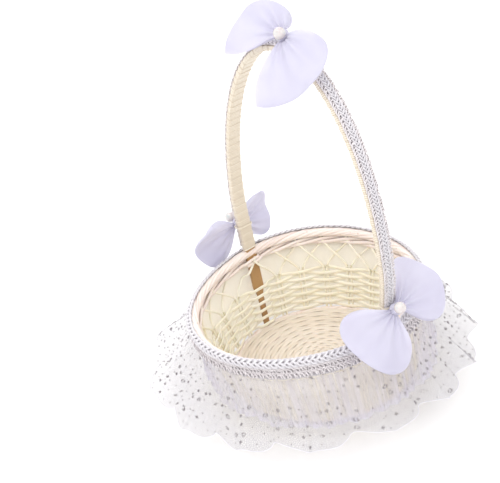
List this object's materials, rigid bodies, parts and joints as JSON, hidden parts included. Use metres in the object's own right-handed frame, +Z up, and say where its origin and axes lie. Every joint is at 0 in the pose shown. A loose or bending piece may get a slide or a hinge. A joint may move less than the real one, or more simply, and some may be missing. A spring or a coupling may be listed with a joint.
{
  "type": "flower girl basket",
  "caption": "Small egg-shaped cane basket with a fixed arched handle, braid trim, gathered sheer ruffles and three organza bows.",
  "frame": {"origin": "centre of the round base, on the surface that the basket stands on", "axes": "+Z up, X along the handle's arch from one foot to the other, -Y towards the fuller side of the rim"},
  "size_m": [0.2057, 0.2105, 0.2491],
  "materials": {
    "cane": "satin",
    "bamboo": "satin",
    "thread": "satin",
    "braid": "satin",
    "lining": "matte",
    "organza": "satin",
    "tulle": "satin",
    "pearl": "gloss"
  },
  "bodies": {
    "root": {"foot_border": "cane", "base_hub": "cane", "base_spokes": "cane", "base_weave": "cane", "side_stakes": "cane", "lower_weave": "cane", "lattice_inner": "cane", "lattice_outer": "cane", "upper_weave": "cane", "rim_border": "cane", "lining_band": "lining", "handle_strip": "bamboo", "handle_wrap": "thread", "handle_braid": "braid", "rim_braid": "braid", "ruffle_heading": "organza", "inner_ruffle": "organza", "outer_ruffle": "tulle", "top_knot": "organza", "top_pearl": "pearl", "top_loop_left": "organza", "top_loop_right": "organza", "near_knot": "organza", "near_pearl": "pearl", "near_loop_left": "organza", "near_loop_right": "organza", "far_knot": "organza", "far_pearl": "pearl", "far_loop_left": "organza", "far_loop_right": "organza"}
  },
  "joints": []
}
